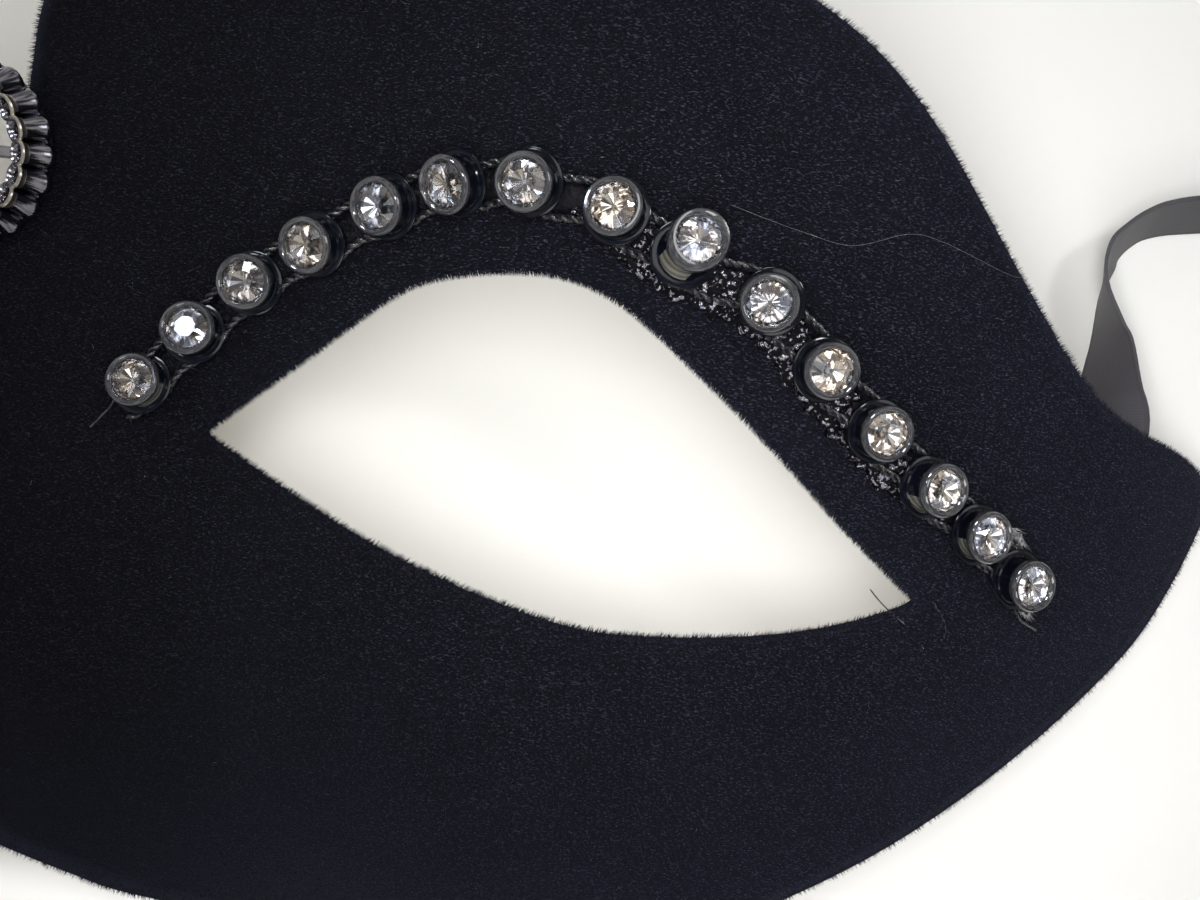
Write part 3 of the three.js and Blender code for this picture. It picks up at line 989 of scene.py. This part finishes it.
def brooch_makeup():
    foot = seat_of("brooch_crystal_centre") @ Matrix.Translation((0, 0, -CENTRE_HEIGHT))
    places = []
    for number in range(1, 21):
        name = f"brooch_crystal_{number:02d}"
        out = foot.inverted() @ seat_of(name).translation
        turn = Matrix.Rotation(math.atan2(out.y, out.x), 4, "Z")
        place = foot @ turn @ Matrix.Translation((RING_RADIUS, 0, 0)) @ Matrix.Rotation(-LEAN, 4, "Y")
        places.append(place)
        seat = place @ Matrix.Translation((0, 0, 1.68 * MM))
        stone = cut_stone(f"brooch_stone_{number:02d}", 0.54 * MM, seat, 0.37 * number, smoky_foil)
        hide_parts(name)
    seat = foot @ Matrix.Translation((0, 0, 2.4 * MM))
    stone = cut_stone("brooch_stone_centre", 1.7 * MM, seat, 0.2, smoky_foil)
    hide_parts("brooch_crystal_centre")
    setting = spin_section("setting", SETTING_SECTION, 20)
    ring = joined_copies(setting, "brooch_settings", places)
    bpy.data.objects.remove(setting)
    middle = spin_section("brooch_centre", CENTRE_SECTION, 32)
    middle.data.transform(foot)
    base = spin_section("brooch_base", BASE_SECTION, 60)
    base.data.transform(foot)
    for part in (ring, middle, base):
        finish_piece(part, "gunmetal", gunmetal, rim_painted_highlight)
        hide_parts("brooch_frame")
    paint_rims(ring, foot, 1.62 * MM)
    paint_rims(middle, foot, 2.4 * MM)
    return foot


def paint_rims(obj, foot, height):
    """The lighter metal, a painted highlight, goes on the faces above a height over the brooch's base."""
    down = foot.inverted()
    for face in obj.data.polygons:
        face.material_index = int((down @ face.center).z > height)


brooch_foot = brooch_makeup()


# %% [markdown]
# ### Spokes
# Six flat spokes tie the middle setting to the ring. Each is a cube primitive, drawn out to a bar
# and bevelled.


# %% Spokes of the brooch
def make_spokes():
    bpy.ops.object.select_all(action="DESELECT")
    bpy.ops.mesh.primitive_cube_add(size=1, location=(0, 0, 0))
    bar = bpy.context.active_object
    bar.name = "spoke"
    bar.data.transform(Matrix.Diagonal((3.9 * MM, 0.8 * MM, 0.8 * MM, 1)))
    bar.data.transform(Matrix.Translation((3.5 * MM, 0, 0.65 * MM)))
    apply_modifier(bar, "BEVEL", width=0.15 * MM, segments=2)
    places = [brooch_foot @ Matrix.Rotation(math.radians(60 * k), 4, "Z") for k in range(6)]
    spokes = joined_copies(bar, "brooch_spokes", places)
    bpy.data.objects.remove(bar)
    finish_piece(spokes, "gunmetal", gunmetal)
    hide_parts("brooch_frame")


make_spokes()

# %% [markdown]
# ## Lint, hairs and loose ends
# Velvet gathers lint. A long hair lies across the brow, thread ends stand out at both ends of the
# row and at the corner of the eye, the braid is frayed at its outer end, and small pale bits are
# scattered over the face.

# %% Lint and loose ends
HAIR = [(50.1, 19.4), (52.3, 18.9), (54.5, 18.5), (57.7, 18.2), (61.1, 19.5), (63.4, 19.5), (68.2, 18.5),
        (69.7, 18.6)]
TAILS = [[(11.2, 4.4), (10.5, 3.2), (10.0, 2.6), (9.3, 1.8)],
         [(73.0, -3.0), (73.8, -3.9), (74.4, -4.2), (75.4, -4.6)],
         [(71.6, 1.8), (72.2, 1.5), (72.6, 1.1), (73.5, 0.7)]]
CORNER_END = [(66.8, -3.2), (67.9, -4.5), (68.1, -5.6)]
HOLE_END = [(62.8, -3.0, 18.0), (63.4, -3.65, 18.3), (64.1, -4.25, 18.5), (65.2, -5.0, 18.6)]
# Frayed ends of the braid: place in plan, the way they point in degrees, and length
FRAYED = [(71.6, 2.2, -30, 1.5), (72.4, 1.6, -60, 1.3), (74.2, -3.3, -50, 1.1)]
FRAYED_FIBRES = 46  # at each of these ends
LINT_BITS = 300


def laid(line, lift, spans=6):
    """Points of a thread on the mask's face, from a few points in plan in millimetres."""
    plan = curve_through(np.array(line) * MM, spans)
    return np.array([on_face(x, y, lift)[0] for x, y in plan])


def make_lint():
    tube("stray_hair", [laid(HAIR, 0.5 * MM)], 0.013 * MM, "velvet", lint_white)
    tails = [laid(tail, 0.6 * MM) for tail in TAILS]
    tube("thread_tails", tails, 0.11 * MM, "black_plastic", sewing_thread)
    ends = [laid(CORNER_END, 0.5 * MM), curve_through(np.array(HOLE_END) * MM)]
    tube("loose_ends", ends, 0.045 * MM, "black_plastic", sewing_thread)
    for number, (x, y, way, length) in enumerate(FRAYED):
        foot, normal = on_face(x * MM, y * MM, 0.45 * MM)
        ahead = np.array((math.cos(math.radians(way)), math.sin(math.radians(way)), -0.25))
        roots = np.array(foot) + draw.normal(0, 0.16 * MM, (FRAYED_FIBRES, 3))
        along = ahead + draw.normal(0, 0.3, roots.shape)
        lengths = draw.uniform(0.4, 1, FRAYED_FIBRES) * length * MM
        fibres = spikes(f"frayed_braid_{number}", roots, along, lengths, 0.035 * MM)
        finish_piece(fibres, "black_plastic", braid_fibre)
    roots, normals = roots_on(triangles_of(shell, [FRONT]), LINT_BITS)
    along = normals * 0.25 + unit(draw.normal(size=roots.shape))
    roots = roots + normals * 0.42 * MM
    bits = spikes("lint_bits", roots, along, draw.uniform(0.1, 0.45, len(roots)) * MM, 0.018 * MM)
    finish_piece(bits, "velvet", lint_white)


make_lint()

# %% [markdown]
# ## Table, lights and sky
# The mask lies on white paper under soft light. A small lamp beyond the temple throws the soft shadow
# through the eye hole. One beside the lens lights all that the camera sees, and another does the same
# for the mask's other half. The stones, the plastic and the metal need something to reflect, so the
# sky is uneven there, as a room with windows is, and four panels show only in mirrors.


# %% Table
def paper_material():
    material, tree = new_material("white_paper", Roughness=0.55)
    cloud = noise(tree, 14.0, 3.0)
    wire_up(tree, Base_Color=colour_mix(tree, cloud, (0.82, 0.815, 0.79), (0.87, 0.867, 0.85)))
    return material


bpy.ops.object.select_all(action="DESELECT")
bpy.ops.mesh.primitive_plane_add(size=3, location=(0, 0, -0.0001))
table = bpy.context.active_object
table.name = "paper_table"
table.data.materials.append(paper_material())


# %% Lights
def add_light(name, place, target, size, power, colour=(1, 1, 1), matt=True, mirrored=True):
    data = bpy.data.lights.new(name, "AREA")
    data.shape = "RECTANGLE"
    data.size, data.size_y = size
    data.energy = power
    data.color = colour
    light = linked(name, data)
    light.location = place
    light.rotation_euler = (Vector(target) - Vector(place)).to_track_quat("-Z", "Y").to_euler()
    light.visible_camera = False
    light.visible_diffuse = matt
    light.visible_glossy = mirrored
    light.visible_transmission = mirrored


MIDDLE = (0.045, 0.0, 0.02)
add_light("temple_lamp", (0.183, 0.085, 0.3), MIDDLE, (0.034, 0.034), 0.2)
add_light("chin_lamp", (0.03, -0.28, 0.35), MIDDLE, (0.16, 0.16), 0.32, (1.0, 0.99, 0.96))
add_light("overhead_lamp", (0.045, 0.03, 0.2), (0.045, 0.01, 0), (0.07, 0.07), 0.045, matt=False)
add_light("lens_lamp", (0.048, 0.0, 0.093), (0.048, 0.0, 0), (0.04, 0.04), 0.08, mirrored=False)
add_light("far_lens_lamp", (-0.05, 0.0, 0.093), (-0.05, 0.0, 0), (0.04, 0.04), 0.04, mirrored=False)
add_light("side_panel", (0.26, 0.08, 0.17), (0.005, 0.02, 0.02), (0.1, 0.1), 0.09, (0.93, 0.95, 1.0),
          matt=False)
add_light("brow_window", (-0.04, 0.19, 0.22), (0.05, 0.01, 0.02), (0.07, 0.05), 0.3, (0.9, 0.94, 1.0),
          matt=False)


def glint_lamp(name, stone, power, colour):
    """A small lamp where the camera sees it in the table of a stone."""
    seat = seats[stone]
    towards = (seat.translation - camera.location).normalized()
    away = towards.reflect(seat.to_3x3() @ Vector((0, 0, 1)))
    place = seat.translation + away * 0.3 + Vector((0, -0.011, 0))
    add_light(name, place, seat.translation, (0.026, 0.026), power, colour, matt=False)


glint_lamp("glint_lamp", "stone_left_02", 0.06, (0.72, 0.84, 1.0))


def paint_sky():
    world = bpy.data.worlds.new("studio")
    scene.world = world
    world.use_nodes = True
    tree = world.node_tree
    outwards = node(tree, "ShaderNodeTexCoord", {}, output=0)
    cloud = noise(tree, 3.4, 1.0, outwards)
    windows = ramp(tree, cloud, (0.42, (0.16, 0.17, 0.21)), (0.6, (1.5, 1.44, 1.34)))
    upwards = node(tree, "ShaderNodeSeparateXYZ", {}, outwards, output=2)
    overhead = ramp(tree, upwards, (0.86, 0.0), (0.96, 1.0))
    mirrored = colour_mix(tree, overhead, windows, (0.36, 0.37, 0.4))
    seen = node(tree, "ShaderNodeLightPath", {}, output=0)
    shade = colour_mix(tree, seen, mirrored, (1.1, 1.1, 1.08))
    background = tree.nodes["Background"]
    tree.links.new(shade.socket, background.inputs["Color"])
    background.inputs["Strength"].default_value = 0.42


paint_sky()

# %% [markdown]
# ## The ties of the coils
# A few turns of thread hold each coil of ribbon together, where two of its turns lie side by side.

# %% Ties
TIE_TURNS = 5


def make_tie(side, sign):
    inner = COIL_RADIUS - 1.25 * TURN_STEP - 0.35 * MM
    outer = COIL_RADIUS - 0.25 * TURN_STEP + 0.35 * MM
    angle = np.linspace(0, TIE_TURNS * 2 * math.pi, TIE_TURNS * 24)
    wide = np.sign(np.cos(angle)) * np.abs(np.cos(angle)) ** 0.3
    tall = np.sign(np.sin(angle)) * np.abs(np.sin(angle)) ** 0.3
    out = (inner + outer) / 2 + (outer - inner) / 2 * wide
    line = np.stack([sign * (COIL_CENTRE[0] + out), COIL_CENTRE[1] + np.linspace(-0.8, 0.8, len(angle)) * MM,
                     (3.35 + 3.1 * tall) * MM], 1)
    tube(f"coil_tie_{side}", [line], 0.19 * MM, "satin", sewing_thread)


for side, sign in SIDES.items():
    make_tie(side, sign)
